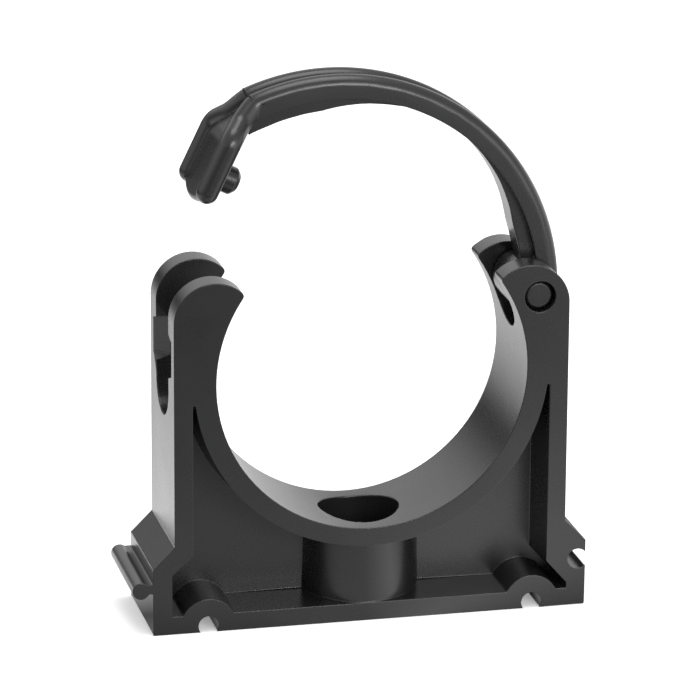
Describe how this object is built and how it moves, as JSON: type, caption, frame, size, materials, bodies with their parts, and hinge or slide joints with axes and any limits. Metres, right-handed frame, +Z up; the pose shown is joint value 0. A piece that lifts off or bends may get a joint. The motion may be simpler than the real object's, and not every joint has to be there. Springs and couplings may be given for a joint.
{
  "type": "pipe clip",
  "caption": "Black plastic pipe clip: a round pipe seat on a screw-down base, with a hinged locking bow that latches over the pipe",
  "frame": {"origin": "centre of the screw hole on the underside of the base", "axes": "+Z up from the base, along the screw; +Y along the pipe, away from the viewer of the front; +X across the clip, towards the hinge of the locking bow"},
  "size_m": [0.0923, 0.024, 0.1096],
  "materials": {
    "body_plastic": "satin",
    "bow_plastic": "satin"
  },
  "bodies": {
    "clip_body": {"clip_body": "body_plastic"},
    "locking_bow": {"locking_bow": "bow_plastic"}
  },
  "joints": [
    {"name": "bow_hinge", "type": "hinge", "parent": "clip_body", "child": "locking_bow", "pos_m": [0.0337, 0, 0.06495], "axis": [0, 1, 0], "range_deg": [-12, 100]}
  ]
}
